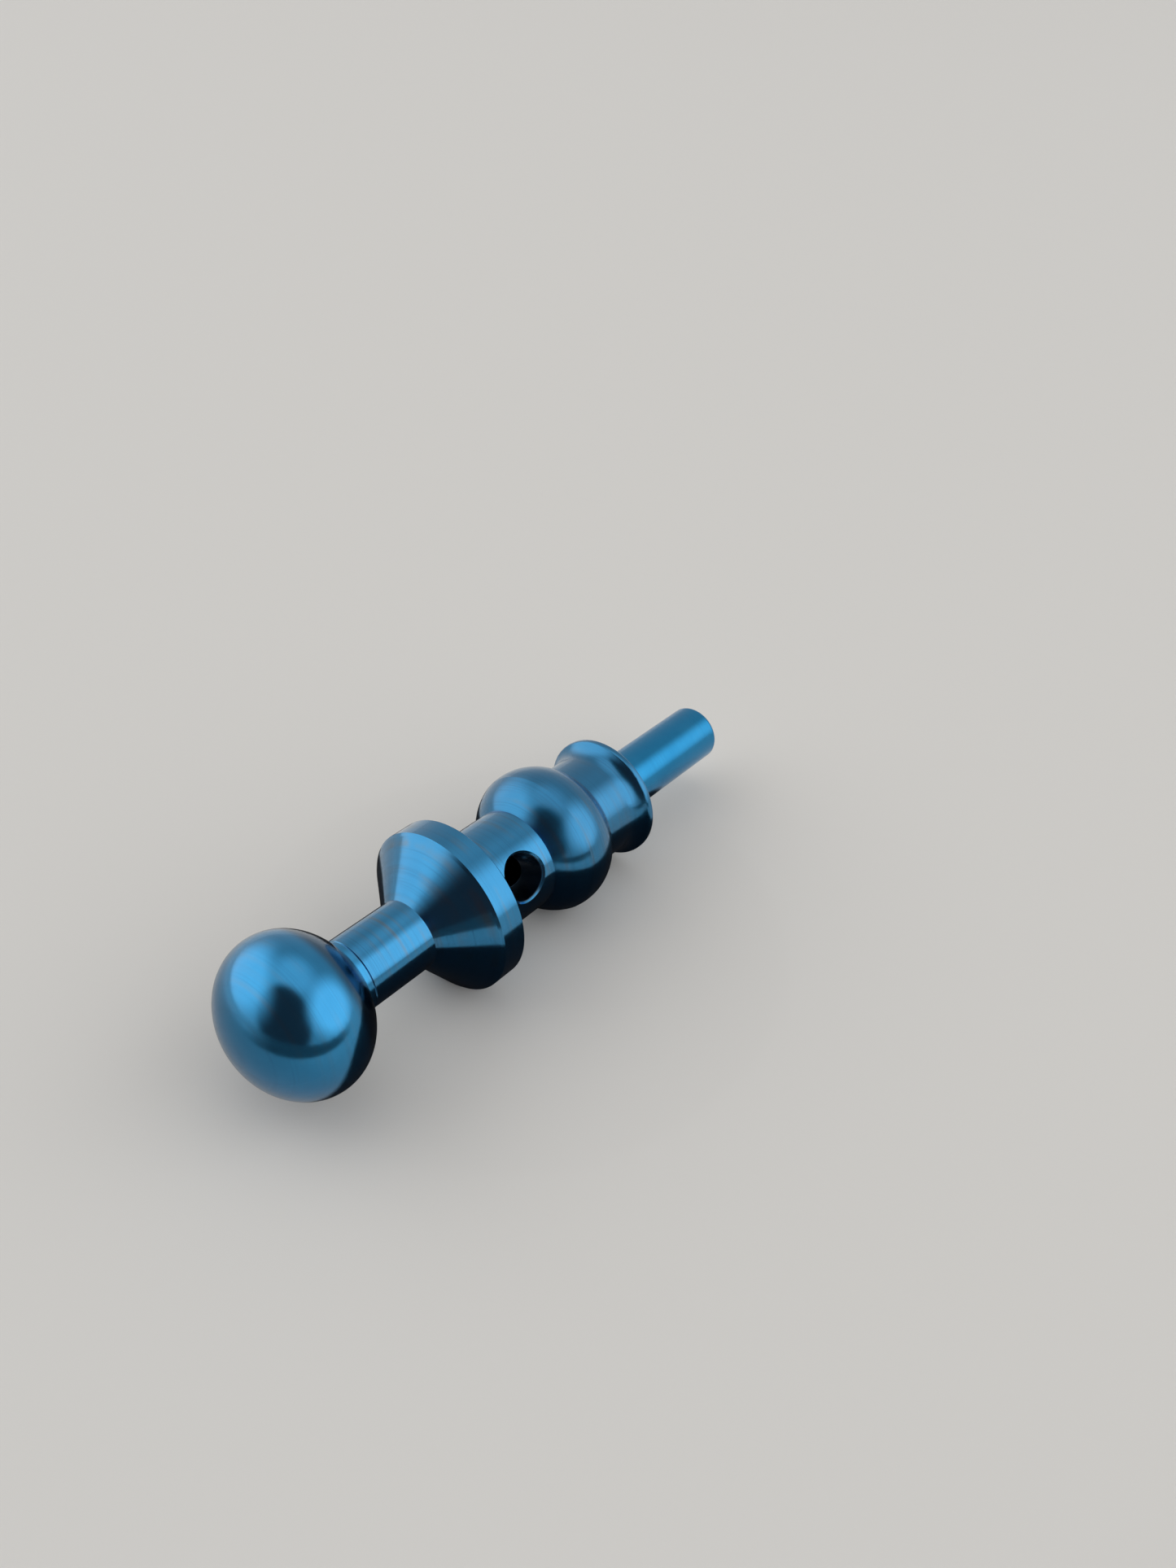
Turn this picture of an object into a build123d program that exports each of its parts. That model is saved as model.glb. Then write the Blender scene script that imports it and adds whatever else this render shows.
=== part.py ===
from build123d import *

import os
from math import sqrt

# A turned spindle toy: ball knob, coned flange with a cross-drilled waist, bulb, lipped collar and rear tube.
#
# Everything is turned about one axis, +X, which runs from the knob to the tube. +Z is up, and the origin is
# where the cross hole's axis meets the turning axis. All sizes are in millimetres and degrees.

# Ball knob: a ball flattened along the axis, on a short boss.
KNOB_RADIUS = 6.35
KNOB_HALF_LENGTH = 5.05
KNOB_BOSS = 0.55  # from the ball to the joint face

# Neck, between the knob and the cone.
NECK_RADIUS = 2.95
NECK_LENGTH = 5.95

# Cone and rim.
CONE_LENGTH = 3.05
RIM_RADIUS = 7.0
RIM_LENGTH = 2.4
RIM_CHAMFER = 0.2  # between the cone and the rim

# Waist, and the hole across it.
WAIST_RADIUS = 4.4
WAIST_LENGTH = 6.7
CROSS_HOLE_RADIUS = 1.9
CROSS_HOLE_SETBACK = 3.6  # from the rim's back face to the hole's axis
CROSS_HOLE_TILT = 29.0  # above level, on the -Y side
CROSS_HOLE_BREAK = 0.22  # chamfer round each mouth

# Bulb: a front dome up to a crease, then a rounder band.
BULB_RADIUS = 6.35
BULB_DOME_LENGTH = 2.5
BULB_DOME_BOW = 0.26  # how far the dome bows out from a straight cone
BULB_BAND_FRONT = 0.9  # from the crease to the widest ring
BULB_BAND_CURVE = 4.4  # radius of the band's profile

# Collar and lip.
COLLAR_RADIUS = 4.6
COLLAR_LENGTH = 2.8
FLARE_CURVE = 1.7  # hollow radius between the collar and the lip
LIP_RADIUS = 5.5
LIP_LENGTH = 0.6
LIP_ROUND = 0.22

# Rear tube.
TUBE_RADIUS = 2.6
TUBE_BORE_RADIUS = 1.6
TUBE_FREE_LENGTH = 14.0  # behind the lip
TUBE_END_ROUND = 0.4
TUBE_BORE_BREAK = 0.2
AIR_WAY_BREAK = 0.2  # where the bore opens into the cross hole

# Joints between the pieces.
SCREW_RADIUS = 1.25  # spigot that screws into the knob
SCREW_LENGTH = 4.6
SCREW_RUNOUT = 0.6  # free depth past the spigot's end
STUB_RADIUS = 3.5  # stub that carries the bulb
STUB_LENGTH = 4.6
TUBE_SHOULDER = 0.3  # step down to the tube's spigot, which runs through the collar and the bulb to the stub
SEAT_WALL = 0.9  # between the cross hole and the tube's seat
FIT_CLEARANCE = 0.02  # radial, between a spigot and its bore
JOINT_BREAK = 0.06  # chamfer on both sides of the knob's joint line
EDGE_BREAK = 0.1  # on the other sharp outer edges

# Fits.
SCREW_HOLE_RADIUS = SCREW_RADIUS + FIT_CLEARANCE
STUB_BORE_RADIUS = STUB_RADIUS + FIT_CLEARANCE
TUBE_SPIGOT_RADIUS = TUBE_RADIUS - TUBE_SHOULDER
SPIGOT_BORE_RADIUS = TUBE_SPIGOT_RADIUS + FIT_CLEARANCE

# Places along the axis.
RIM_BACK = -CROSS_HOLE_SETBACK
RIM_FRONT = RIM_BACK - RIM_LENGTH
CONE_FRONT = RIM_FRONT - CONE_LENGTH
KNOB_JOINT = CONE_FRONT - NECK_LENGTH
KNOB_SHOULDER = KNOB_JOINT - KNOB_BOSS
KNOB_CENTRE = KNOB_SHOULDER - KNOB_HALF_LENGTH * sqrt(1 - (NECK_RADIUS / KNOB_RADIUS) ** 2)
SCREW_FRONT = KNOB_JOINT - SCREW_LENGTH
WAIST_BACK = RIM_BACK + WAIST_LENGTH
STUB_BACK = WAIST_BACK + STUB_LENGTH
BULB_CREASE = WAIST_BACK + BULB_DOME_LENGTH
BULB_WIDEST = BULB_CREASE + BULB_BAND_FRONT
BAND_AXIS = BULB_RADIUS - BULB_BAND_CURVE  # radius of the ring that the band's profile is struck from
BULB_CREASE_RADIUS = BAND_AXIS + sqrt(BULB_BAND_CURVE ** 2 - BULB_BAND_FRONT ** 2)
BULB_BACK = BULB_WIDEST + sqrt(BULB_BAND_CURVE ** 2 - (COLLAR_RADIUS - BAND_AXIS) ** 2)
FLARE_FRONT = BULB_BACK + COLLAR_LENGTH
FLARE_RISE = LIP_RADIUS - COLLAR_RADIUS
LIP_FRONT = FLARE_FRONT + sqrt(FLARE_CURVE ** 2 - (FLARE_CURVE - FLARE_RISE) ** 2)
LIP_BACK = LIP_FRONT + LIP_LENGTH
TUBE_FRONT = CROSS_HOLE_RADIUS + SEAT_WALL
TUBE_BACK = LIP_BACK + TUBE_FREE_LENGTH


def straight(*points):
    """Straight edges through (place along the axis, radius) points."""
    return [Line(start, end) for start, end in zip(points, points[1:])]


def turned(*edges):
    """Revolve a closed outline about the turning axis."""
    return revolve(Face(Wire(list(edges))), Axis.X, 360)


def rod(radius, start, end):
    """A plain cylinder on the turning axis."""
    lying = Cylinder(radius, end - start, rotation=(0, 90, 0), align=(Align.CENTER, Align.CENTER, Align.MIN))
    return Pos(start, 0, 0) * lying


def circle_edges(solid, radius, tolerance=0.01):
    """The solid's full circles of one radius, in order along the axis."""
    rings = [edge for edge in solid.edges().filter_by(GeomType.CIRCLE) if abs(edge.radius - radius) < tolerance]
    return ShapeList(rings).sort_by(Axis.X)


def make_ball_knob():
    """The flattened ball and its boss, with a blind hole for the body's screw spigot."""
    ball = scale(Sphere(KNOB_RADIUS, rotation=(0, 90, 0)), by=(KNOB_HALF_LENGTH / KNOB_RADIUS, 1, 1))
    ball = Pos(KNOB_CENTRE, 0, 0) * ball
    past_joint = rod(KNOB_RADIUS, KNOB_JOINT, KNOB_JOINT + KNOB_HALF_LENGTH)
    boss = rod(NECK_RADIUS, KNOB_CENTRE, KNOB_JOINT)
    boss = chamfer(circle_edges(boss, NECK_RADIUS)[-1], JOINT_BREAK)
    hole = rod(SCREW_HOLE_RADIUS, SCREW_FRONT - SCREW_RUNOUT, KNOB_JOINT)
    return ball - past_joint + boss - hole


def make_flange_body():
    """Screw spigot, neck, cone, rim and cross-drilled waist, and the bored stub behind them."""
    body = turned(*straight(
        (SCREW_FRONT, 0),
        (SCREW_FRONT, SCREW_RADIUS - EDGE_BREAK),
        (SCREW_FRONT + EDGE_BREAK, SCREW_RADIUS),
        (KNOB_JOINT, SCREW_RADIUS),
        (KNOB_JOINT, NECK_RADIUS - JOINT_BREAK),
        (KNOB_JOINT + JOINT_BREAK, NECK_RADIUS),
        (CONE_FRONT, NECK_RADIUS),
        (RIM_FRONT, RIM_RADIUS - RIM_CHAMFER),
        (RIM_FRONT + RIM_CHAMFER, RIM_RADIUS),
        (RIM_BACK - EDGE_BREAK, RIM_RADIUS),
        (RIM_BACK, RIM_RADIUS - EDGE_BREAK),
        (RIM_BACK, WAIST_RADIUS),
        (WAIST_BACK, WAIST_RADIUS),
        (WAIST_BACK, STUB_RADIUS),
        (STUB_BACK, STUB_RADIUS),
        (STUB_BACK, 0),
        (SCREW_FRONT, 0)))
    drill = Rot(90 - CROSS_HOLE_TILT, 0, 0) * Cylinder(CROSS_HOLE_RADIUS, 2 * RIM_RADIUS)
    before = body.edges()
    body -= drill
    mouths = [edge for edge in body.edges() - before if edge.geom_type != GeomType.LINE]
    body = chamfer(mouths, CROSS_HOLE_BREAK)
    before = body.edges()
    body -= rod(TUBE_BORE_RADIUS, 0, STUB_BACK)
    inlet = (body.edges() - before).sort_by(Axis.X)[0]
    body = chamfer(inlet, AIR_WAY_BREAK)
    return body - rod(SPIGOT_BORE_RADIUS, TUBE_FRONT, STUB_BACK)


def make_bulb():
    """The bead between the waist and the collar, bored for the stub and, behind it, for the tube."""
    waist_corner = (WAIST_BACK, WAIST_RADIUS)
    crease = (BULB_CREASE, BULB_CREASE_RADIUS)
    collar_corner = (BULB_BACK, COLLAR_RADIUS)
    dome = SagittaArc(waist_corner, crease, BULB_DOME_BOW)
    band = ThreePointArc(crease, (BULB_WIDEST, BULB_RADIUS), collar_corner)
    return turned(dome, band, *straight(
        collar_corner,
        (BULB_BACK, SPIGOT_BORE_RADIUS),
        (STUB_BACK, SPIGOT_BORE_RADIUS),
        (STUB_BACK, STUB_BORE_RADIUS),
        (WAIST_BACK, STUB_BORE_RADIUS),
        waist_corner))


def make_lip_collar():
    """The ring on the tube: a plain collar, a hollow flare and a rounded lip."""
    flare_start = (FLARE_FRONT, COLLAR_RADIUS)
    flare = TangentArc(flare_start, (LIP_FRONT, LIP_RADIUS), tangent=(1, 0))
    collar = turned(flare, *straight(
        (LIP_FRONT, LIP_RADIUS),
        (LIP_BACK, LIP_RADIUS),
        (LIP_BACK, SPIGOT_BORE_RADIUS),
        (BULB_BACK, SPIGOT_BORE_RADIUS),
        (BULB_BACK, COLLAR_RADIUS),
        flare_start))
    return fillet(circle_edges(collar, LIP_RADIUS), LIP_ROUND)


def make_rear_tube():
    """The tube: a spigot seated in the body's stub, and a shoulder that clamps the lip and the bulb."""
    tube = rod(TUBE_SPIGOT_RADIUS, TUBE_FRONT, TUBE_BACK) + rod(TUBE_RADIUS, LIP_BACK, TUBE_BACK)
    tube -= rod(TUBE_BORE_RADIUS, TUBE_FRONT, TUBE_BACK)
    tube = fillet(circle_edges(tube, TUBE_RADIUS)[-1], TUBE_END_ROUND)
    return chamfer(circle_edges(tube, TUBE_BORE_RADIUS)[-1], TUBE_BORE_BREAK)


def main():
    os.makedirs("parts", exist_ok=True)
    parts = {
        "ball_knob": make_ball_knob(),
        "flange_body": make_flange_body(),
        "bulb": make_bulb(),
        "lip_collar": make_lip_collar(),
        "rear_tube": make_rear_tube(),
    }
    for name, part in parts.items():
        export_step(part, f"parts/{name}.step")
        print(name, round(part.volume, 1), part.bounding_box())


main()
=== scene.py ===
"""Looks for the turned spindle toy: blue anodised metal on a pale studio floor.

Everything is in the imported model's frame: +X is the turning axis, from the ball knob to the rear tube, the
origin is where the cross hole's axis meets it, and +Z is up. Lengths are in metres unless they say _MM.
Directions are azimuth and elevation in degrees, with azimuth 0 towards +Y and 90 towards +X.
"""

import math

import bmesh
import bpy
from mathutils import Matrix, Vector


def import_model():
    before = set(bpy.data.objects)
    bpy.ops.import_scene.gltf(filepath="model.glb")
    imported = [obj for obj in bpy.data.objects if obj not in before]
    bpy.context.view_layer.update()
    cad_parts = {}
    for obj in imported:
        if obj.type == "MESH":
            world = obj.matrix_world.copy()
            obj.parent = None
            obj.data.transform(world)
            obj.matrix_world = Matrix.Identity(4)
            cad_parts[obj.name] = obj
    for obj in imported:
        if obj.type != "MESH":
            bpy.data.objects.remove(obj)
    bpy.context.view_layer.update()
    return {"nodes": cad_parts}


MM = 0.001

# Colours, linear.
BLUE_DEEP = (0.014, 0.215, 0.46, 1)
BLUE_LIGHT = (0.034, 0.30, 0.585, 1)
BRONZE = (0.15, 0.185, 0.20, 1)
# painted shade, for the cross hole's wall and the knob's back
PAINTED_SHADE_BLUE = (0.012, 0.035, 0.065, 1)
FLOOR_COLOR = (0.68, 0.67, 0.645, 1)
CARD_COLOR = (0.025, 0.025, 0.028, 1)
WALL_COLOR = (0.50, 0.50, 0.49, 1)

# The anodised metal. The ranges are the parts of a noise's values over which a mask goes from none to full.
FINE_RINGS = {"Scale": 7500, "Detail": 3.0, "Roughness": 0.6}
BROAD_RINGS = {"Scale": 1500, "Detail": 2.0, "Roughness": 0.5}
PATCHES = {"Scale": 230, "Detail": 3.0, "Roughness": 0.6}
RING_STRETCH = (1.0, 0.012, 0.012)  # rings vary quickly along X, and hardly at all round it
SCORED_RANGE = (0.48, 0.72)  # fine rings
SCORED_SHADE = 0.7
BRONZE_RING_RANGE = (0.45, 0.70)  # broad rings
BRONZE_PATCH_RANGE = (0.40, 0.68)
ROUGHNESS_SPREAD = 0.3  # how much the rings vary the roughness, either way
COAT_ROUGHNESS = 0.12
ANISOTROPY_TURN = 0.25  # of a whole turn, from the direction round the axis
FINISHES = {
    "ball_knob": dict(
        name="knob_blue", roughness=0.16, anisotropy=0.3, ring_depth_mm=0.0006, scoring=0.2, tint=0.25,
        shade=1.03, coat=0.55, shaded_knob_corner=True),
    "flange_body": dict(
        name="body_blue", roughness=0.14, anisotropy=0.65, ring_depth_mm=0.0020, scoring=0.4, tint=0.6,
        shade=0.93, coat=0.7, dull_shaded_bore=True),
    "bulb": dict(
        name="bulb_blue", roughness=0.20, anisotropy=0.88, ring_depth_mm=0.0030, scoring=0.45, tint=0.5,
        shade=0.78, coat=0.65),
    "lip_collar": dict(
        name="collar_blue", roughness=0.22, anisotropy=0.6, ring_depth_mm=0.0016, scoring=0.3, tint=0.3,
        shade=0.74, coat=0.7),
    "rear_tube": dict(
        name="tube_blue", roughness=0.2, anisotropy=0.3, ring_depth_mm=0.0006, scoring=0.15, tint=0.1,
        shade=0.97, coat=0.1),
}

# The cross hole's wall, duller and with painted shade: the hole's tilt and radius, and the shares of the radius
# where the painted shade begins and is full.
CROSS_HOLE_TILT = math.radians(29)
CROSS_HOLE_RADIUS_MM = 1.9
CROSS_HOLE_EDGE = (1.05, 1.01)
BORE_DULLNESS = 0.35  # more roughness inside

# Painted shade on the knob's back, in the corner towards the boss: where it starts and ends along X, and how long
# the painted shade takes to fade there.
KNOB_CORNER_MM = (-18.9, -15.6)
KNOB_CORNER_FADES_MM = (0.9, 0.1)
KNOB_CORNER_SHADE = 0.75

# The floor touches the rim's back edge and the bulb, so it tilts a little about Y.
FLOOR_TILT = math.radians(3.6)
FLOOR_POINT_MM = (-3.7, 0, -7.0)  # under the rim
FLOOR_RADIUS_MM = 3000
DISC_STEPS = 96
STAGE_ROUGHNESS = 0.9  # of the floor, the cards and the dome
CARD_SPECULAR = 0.1

# Dark cards on the floor, which only reflections see: name, centre, radius, lift, the radii where the dark begins
# and where it is full, its opacity there, and the azimuth that it keeps to, seen from under the knob, if any.
CARDS = (
    ("near_card", (1.5, -1.5), 30, 0.03, (23.5, 22), 1.0, None),  # under the part
    ("far_card", (23, 14), 2900, 0.06, (78, 82), 0.85, -138),  # past the edge of a round table
    ("side_card", (-45, 15), 60, 0.09, (59, 10), 0.42, None),  # a soft shadow beside the knob
)
KNOB_FOOT_MM = (-20, 0)
CARD_HALF_SPANS = (80, 40)  # the angles from its azimuth at which a card begins and is full

# A plain dome that closes the view behind the floor. Only the camera sees it.
DOME_RADIUS_MM = 2800
DOME_STEPS = 64

# Camera.
CAMERA_PLACE_MM = (-53.4, -49.6, 62.7)
CAMERA_AIM_MM = (11.1, -1.0, 3.8)
CAMERA_LEAN = math.radians(4.4)  # the camera's upright direction leans back along X by this much
CAMERA_CLIP_MM = (1, 10000)
SENSOR_MM = 36.0
FOCAL_LENGTH_MM = 27.09

# Studio light.
SOFT_LIGHTS = (("left_light", -28, 40), ("right_light", 156, 40))
LIGHT_DISTANCE_MM = 1500
LIGHT_WIDTH_MM = 1200
LIGHT_WATTS = 1.22
# Oval zones of the surroundings: azimuth, elevation, width, height, softness of the edge, color.
ZONES = (
    (-15, 88, 60, 56, 0.45, (0.95, 0.95, 0.95, 1)),  # overhead
    (-108, 25, 74, 88, 0.12, (0.09, 0.055, 0.055, 1)),  # the dark gap on the camera's side
    (-30, 24, 78, 64, 0.40, (1.40, 1.40, 1.40, 1)),  # the left soft box
    (160, 31, 80, 60, 0.35, (1.50, 1.50, 1.50, 1)),  # the right soft box
)
ZONE_BACK_WEIGHT = 50.0  # keeps a zone off the opposite side of the sky


def direction(azimuth, elevation):
    """The unit vector towards an azimuth and an elevation."""
    a = math.radians(azimuth)
    e = math.radians(elevation)
    return Vector((math.sin(a) * math.cos(e), math.cos(a) * math.cos(e), math.sin(e)))


def node_tree(material):
    """A new tree for the material, with only a shader and the output, and the shader."""
    material.use_nodes = True
    tree = material.node_tree
    tree.nodes.clear()
    output = tree.nodes.new("ShaderNodeOutputMaterial")
    shader = tree.nodes.new("ShaderNodeBsdfPrincipled")
    tree.links.new(shader.outputs["BSDF"], output.inputs["Surface"])
    return tree, shader


def add_node(tree, kind, **properties):
    """A new node, with its properties set by name."""
    node = tree.nodes.new(kind)
    for name, value in properties.items():
        setattr(node, name, value)
    return node


def feed(tree, socket, source):
    """Link a socket to another node's output, or set it to a fixed number, vector or colour."""
    if isinstance(source, bpy.types.NodeSocket):
        tree.links.new(source, socket)
    else:
        socket.default_value = source


def noise(tree, place, settings):
    """A noise texture's value."""
    node = add_node(tree, "ShaderNodeTexNoise")
    for name, value in settings.items():
        node.inputs[name].default_value = value
    feed(tree, node.inputs["Vector"], place)
    return node.outputs["Fac"]


def map_range(tree, value, low, high, to_low=0.0, to_high=1.0):
    """The value, smoothly mapped from low..high to to_low..to_high."""
    node = add_node(tree, "ShaderNodeMapRange", interpolation_type="SMOOTHSTEP")
    for name, number in (("From Min", low), ("From Max", high), ("To Min", to_low), ("To Max", to_high)):
        node.inputs[name].default_value = number
    feed(tree, node.inputs["Value"], value)
    return node.outputs["Result"]


def math_node(tree, operation, first, second, **properties):
    """A number worked out from two others."""
    node = add_node(tree, "ShaderNodeMath", operation=operation, **properties)
    feed(tree, node.inputs[0], first)
    feed(tree, node.inputs[1], second)
    return node.outputs["Value"]


def vector_node(tree, operation, first, second=None):
    """A vector, or for some operations a number, worked out from one or two vectors."""
    node = add_node(tree, "ShaderNodeVectorMath", operation=operation)
    feed(tree, node.inputs[0], first)
    if second is not None:
        feed(tree, node.inputs[1], second)
    gives_number = operation in ("DISTANCE", "DOT_PRODUCT", "LENGTH")
    return node.outputs["Value" if gives_number else "Vector"]


def blend(tree, factor, first, second):
    """A colour between two others."""
    node = add_node(tree, "ShaderNodeMix", data_type="RGBA")
    feed(tree, node.inputs["Factor"], factor)
    feed(tree, node.inputs["A"], first)
    feed(tree, node.inputs["B"], second)
    return node.outputs["Result"]


def shaded(color, shade):
    """A colour times a number."""
    return (*(shade * value for value in color[:3]), 1)


def bore_shade_mask(tree, place):
    """Where shade is painted: 1 on the cross hole's wall and inside it, fading to 0 over the chamfer round each
    mouth.
    """
    axis = (0, -math.cos(CROSS_HOLE_TILT), math.sin(CROSS_HOLE_TILT))
    across = vector_node(tree, "CROSS_PRODUCT", place, axis)
    distance = vector_node(tree, "LENGTH", across)
    begins, full = (share * CROSS_HOLE_RADIUS_MM * MM for share in CROSS_HOLE_EDGE)
    return map_range(tree, distance, begins, full)


def corner_shade_mask(tree, place):
    """Painted shade on the knob's back, up to the corner's set darkness, and 0 on its front and on the boss."""
    along = add_node(tree, "ShaderNodeSeparateXYZ")
    feed(tree, along.inputs["Vector"], place)
    start, end = (value * MM for value in KNOB_CORNER_MM)
    fade_in, fade_out = (value * MM for value in KNOB_CORNER_FADES_MM)
    behind = map_range(tree, along.outputs["X"], start, start + fade_in, 0.0, KNOB_CORNER_SHADE)
    ahead = map_range(tree, along.outputs["X"], end + fade_out, end)
    return math_node(tree, "MULTIPLY", behind, ahead)


def anodised(name, roughness, anisotropy, ring_depth_mm, scoring, tint, shade, coat, dull_shaded_bore=False, shaded_knob_corner=False):
    """Blue anodised metal, turned about X: fine rings, bronze tints along some of them, and a thin clear oxide.

    scoring and tint are how dark and how bronze the rings get, shade multiplies the colours, and the last two flags
    add painted shade: a dark, also rougher, wall in the cross hole, and a dark corner on the knob's back.
    """
    material = bpy.data.materials.new(name)
    tree, shader = node_tree(material)
    shader.inputs["Metallic"].default_value = 1.0
    shader.inputs["Anisotropic"].default_value = anisotropy
    shader.inputs["Anisotropic Rotation"].default_value = ANISOTROPY_TURN
    shader.inputs["Coat Weight"].default_value = coat
    shader.inputs["Coat Roughness"].default_value = COAT_ROUGHNESS
    tangent = add_node(tree, "ShaderNodeTangent", direction_type="RADIAL", axis="X")
    feed(tree, shader.inputs["Tangent"], tangent.outputs["Tangent"])

    place = add_node(tree, "ShaderNodeTexCoord").outputs["Object"]
    stretch = add_node(tree, "ShaderNodeMapping")
    stretch.inputs["Scale"].default_value = RING_STRETCH
    feed(tree, stretch.inputs["Vector"], place)
    fine = noise(tree, stretch.outputs["Vector"], FINE_RINGS)
    broad = noise(tree, stretch.outputs["Vector"], BROAD_RINGS)
    patches = noise(tree, place, PATCHES)

    # Two blues by patch, darker along some rings, and bronze where a broad ring and a patch meet.
    blues = blend(tree, patches, shaded(BLUE_DEEP, shade), shaded(BLUE_LIGHT, shade))
    scored = map_range(tree, fine, *SCORED_RANGE, 0.0, scoring)
    blues = blend(tree, scored, blues, shaded(BLUE_DEEP, SCORED_SHADE * shade))
    bronze_rings = map_range(tree, broad, *BRONZE_RING_RANGE)
    bronze_patches = map_range(tree, patches, *BRONZE_PATCH_RANGE, 0.0, tint)
    bronzed = math_node(tree, "MULTIPLY", bronze_rings, bronze_patches)
    color = blend(tree, bronzed, blues, shaded(BRONZE, shade))
    smoothest = roughness * (1 - ROUGHNESS_SPREAD)
    roughest = roughness * (1 + ROUGHNESS_SPREAD)
    rough = map_range(tree, fine, 0.0, 1.0, smoothest, roughest)
    # Painted shade on the cross hole's wall, which also gets a real extra roughness.
    if dull_shaded_bore:
        inside = bore_shade_mask(tree, place)
        color = blend(tree, inside, color, PAINTED_SHADE_BLUE)
        dull = map_range(tree, inside, 0.0, 1.0, 0.0, BORE_DULLNESS)
        rough = math_node(tree, "ADD", rough, dull, use_clamp=True)
    # Painted shade on the knob's back, in the corner against the boss.
    if shaded_knob_corner:
        color = blend(tree, corner_shade_mask(tree, place), color, PAINTED_SHADE_BLUE)
    feed(tree, shader.inputs["Base Color"], color)
    feed(tree, shader.inputs["Roughness"], rough)

    relief = add_node(tree, "ShaderNodeBump")
    relief.inputs["Strength"].default_value = 1.0
    relief.inputs["Distance"].default_value = ring_depth_mm * MM
    feed(tree, relief.inputs["Height"], fine)
    feed(tree, shader.inputs["Normal"], relief.outputs["Normal"])
    return material


def matte(part, color):
    """Give an object a plain matte material of its own name, and return the material's tree and shader."""
    material = bpy.data.materials.new(part.name)
    part.data.materials.append(material)
    tree, shader = node_tree(material)
    shader.inputs["Base Color"].default_value = color
    shader.inputs["Roughness"].default_value = STAGE_ROUGHNESS
    return tree, shader


def on_floor(x, y):
    """The floor's point above or below (x, y), all in mm."""
    px, _, pz = FLOOR_POINT_MM
    return Vector((x, y, pz + math.tan(FLOOR_TILT) * (x - px)))


def make_disc(name, centre, radius, lift=0):
    """A flat disc on the floor, or lifted off it, with its sizes in mm."""
    mesh = bpy.data.meshes.new(name)
    ring = []
    for step in range(DISC_STEPS):
        angle = 2 * math.pi * step / DISC_STEPS
        place = on_floor(centre[0] + radius * math.cos(angle), centre[1] + radius * math.sin(angle))
        ring.append((place + Vector((0, 0, lift))) * MM)
    mesh.from_pydata(ring, [], [list(range(DISC_STEPS))])
    disc = bpy.data.objects.new(name, mesh)
    bpy.context.collection.objects.link(disc)
    return disc


def seen_only_by(part, ray):
    """Hide an object from every kind of ray but one: camera or glossy."""
    part.visible_camera = ray == "camera"
    part.visible_glossy = ray == "glossy"
    part.visible_diffuse = False
    part.visible_transmission = False
    part.visible_shadow = False


def make_floor():
    """A plain pale disc that the part lies on."""
    floor = make_disc("floor", FLOOR_POINT_MM[:2], FLOOR_RADIUS_MM)
    matte(floor, FLOOR_COLOR)


def make_dome():
    """A plain pale backdrop all round, which neither shades nor colours anything."""
    mesh = bpy.data.meshes.new("dome")
    shell = bmesh.new()
    bmesh.ops.create_uvsphere(shell, u_segments=DOME_STEPS, v_segments=DOME_STEPS // 2, radius=DOME_RADIUS_MM * MM)
    shell.to_mesh(mesh)
    shell.free()
    mesh.shade_smooth()
    dome = bpy.data.objects.new("dome", mesh)
    bpy.context.collection.objects.link(dome)
    matte(dome, FLOOR_COLOR)
    seen_only_by(dome, "camera")


def make_card(name, centre, radius, lift, edge, opacity, azimuth):
    """A dark card on the floor, out of the camera's sight, that the part reflects."""
    card = make_disc(name, centre, radius, lift)
    tree, shader = matte(card, CARD_COLOR)
    shader.inputs["Specular IOR Level"].default_value = CARD_SPECULAR
    place = add_node(tree, "ShaderNodeTexCoord").outputs["Object"]
    distance = vector_node(tree, "DISTANCE", place, on_floor(*centre) * MM)
    cover = map_range(tree, distance, edge[0] * MM, edge[1] * MM, 0.0, opacity)
    if azimuth is not None:
        away = vector_node(tree, "SUBTRACT", place, on_floor(*KNOB_FOOT_MM) * MM)
        unit = vector_node(tree, "NORMALIZE", away)
        facing = vector_node(tree, "DOT_PRODUCT", unit, direction(azimuth, 0))
        begins, full = (math.cos(math.radians(angle)) for angle in CARD_HALF_SPANS)
        cover = math_node(tree, "MULTIPLY", cover, map_range(tree, facing, begins, full))
    feed(tree, shader.inputs["Alpha"], cover)
    seen_only_by(card, "glossy")


def make_camera():
    """The camera, level but for its lean, looking at its aim."""
    place = Vector(CAMERA_PLACE_MM) * MM
    look = (Vector(CAMERA_AIM_MM) * MM - place).normalized()
    upright = Vector((-math.sin(CAMERA_LEAN), 0, math.cos(CAMERA_LEAN)))
    right = look.cross(upright).normalized()
    up = right.cross(look)
    data = bpy.data.cameras.new("camera")
    data.sensor_width = SENSOR_MM
    data.lens = FOCAL_LENGTH_MM
    data.clip_start, data.clip_end = (value * MM for value in CAMERA_CLIP_MM)
    camera = bpy.data.objects.new("camera", data)
    bpy.context.collection.objects.link(camera)
    camera.rotation_mode = "QUATERNION"
    camera.rotation_quaternion = Matrix((right, up, -look)).transposed().to_quaternion()
    camera.location = place
    bpy.context.scene.camera = camera


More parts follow.
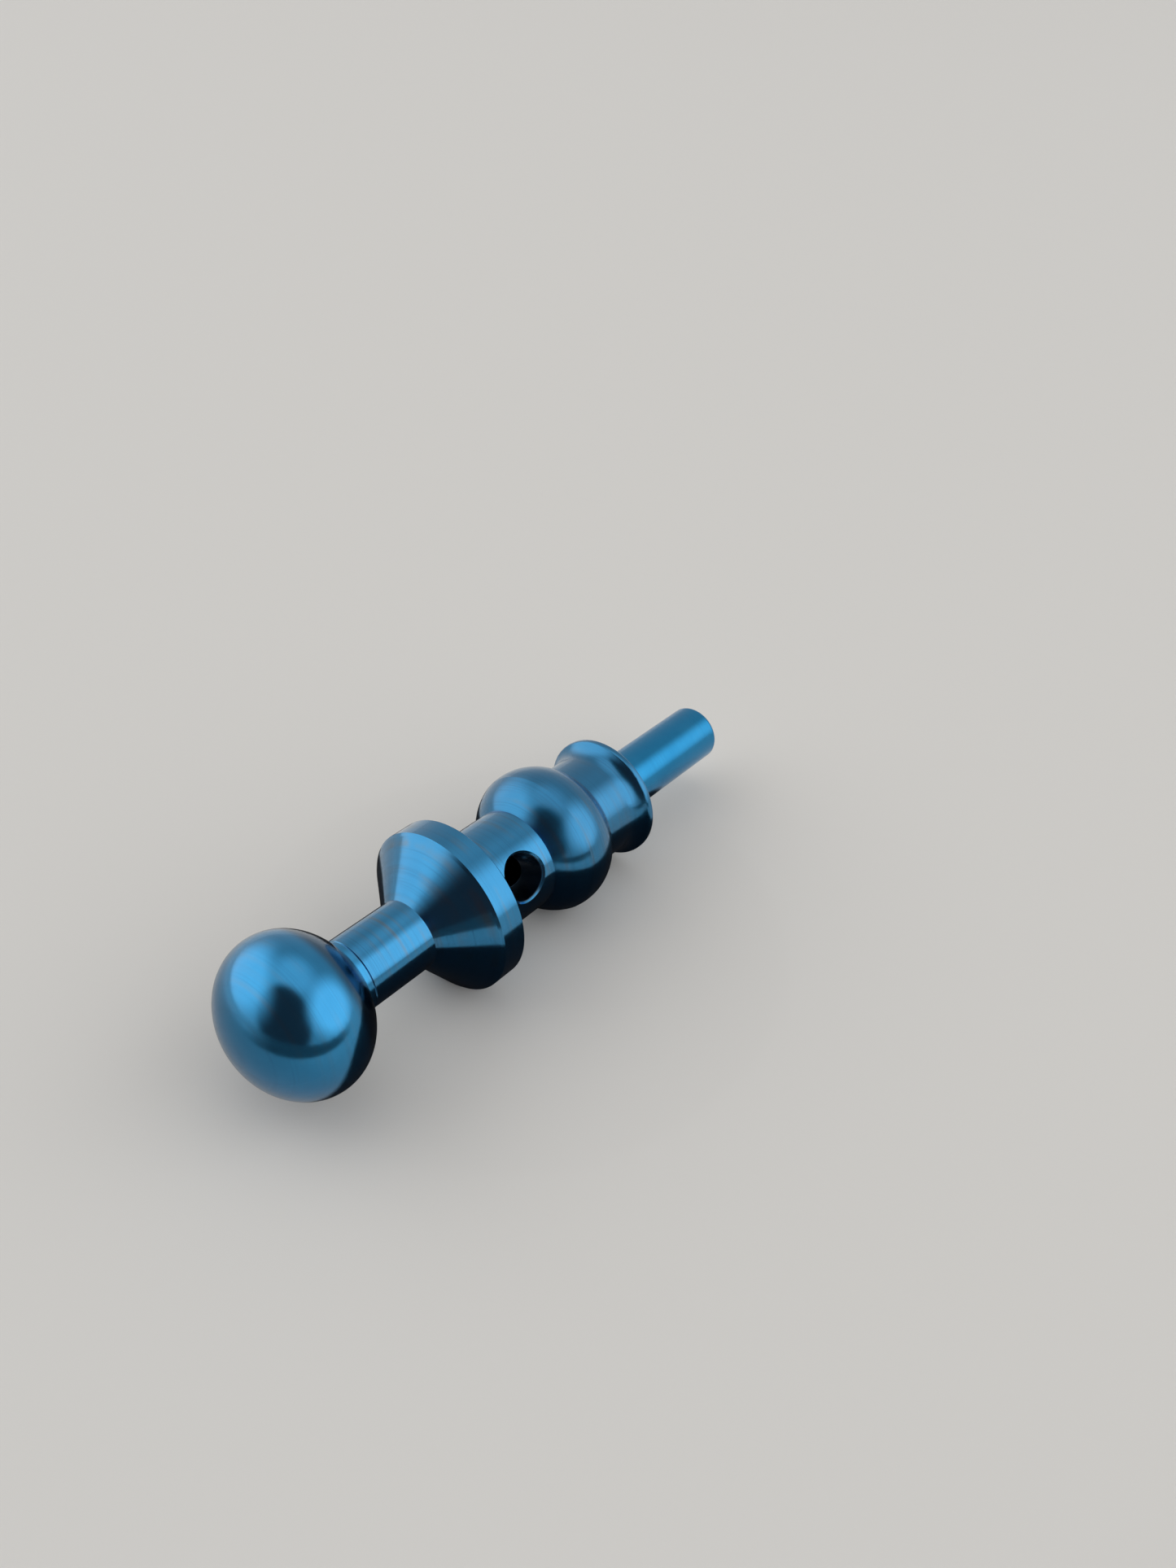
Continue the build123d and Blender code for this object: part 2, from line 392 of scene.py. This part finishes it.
def soft_light(name, azimuth, elevation):
    """A large soft box that shapes the floor's light. The metal reflects the world's glows instead."""
    data = bpy.data.lights.new(name, "AREA")
    data.shape = "DISK"
    data.size = LIGHT_WIDTH_MM * MM
    data.energy = LIGHT_WATTS
    light = bpy.data.objects.new(name, data)
    bpy.context.collection.objects.link(light)
    towards = direction(azimuth, elevation)
    light.location = towards * LIGHT_DISTANCE_MM * MM
    light.rotation_mode = "QUATERNION"
    light.rotation_quaternion = towards.to_track_quat("Z", "Y")
    light.visible_camera = False
    light.visible_glossy = False


def zone_mask(tree, place, azimuth, elevation, width, height, softness):
    """1 inside an oval zone of the surroundings, width by height degrees, fading to 0 past its edge."""
    centre = direction(azimuth, elevation)
    side = Vector((0, 0, 1)).cross(centre).normalized()
    top = centre.cross(side)
    reach = add_node(tree, "ShaderNodeCombineXYZ")
    for name, axis, half in (("X", side, width / 2), ("Y", top, height / 2)):
        share = vector_node(tree, "DOT_PRODUCT", place, axis / math.sin(math.radians(half)))
        feed(tree, reach.inputs[name], share)
    ahead = vector_node(tree, "DOT_PRODUCT", place, centre)
    behind = math_node(tree, "MINIMUM", ahead, 0.0)
    feed(tree, reach.inputs["Z"], math_node(tree, "MULTIPLY", behind, ZONE_BACK_WEIGHT))
    distance = vector_node(tree, "LENGTH", reach.outputs["Vector"])
    return map_range(tree, distance, 1.0 + softness, 1.0 - softness)


def make_world():
    """Pale walls all round, and over them the zones: soft glows and a dark gap."""
    world = bpy.data.worlds.new("studio")
    bpy.context.scene.world = world
    world.use_nodes = True
    tree = world.node_tree
    place = add_node(tree, "ShaderNodeTexCoord").outputs["Generated"]
    color = WALL_COLOR
    for *oval, shade in ZONES:
        color = blend(tree, zone_mask(tree, place, *oval), color, shade)
    feed(tree, tree.nodes["Background"].inputs["Color"], color)


def main():
    """Load the part, set the stage round it, and give each piece its finish."""
    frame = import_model()
    make_camera()
    make_floor()
    make_dome()
    for card in CARDS:
        make_card(*card)
    make_world()
    for light in SOFT_LIGHTS:
        soft_light(*light)
    bpy.context.scene.view_settings.view_transform = "Standard"
    for node, finish in FINISHES.items():
        frame["nodes"][node].data.materials[0] = anodised(**finish)


main()
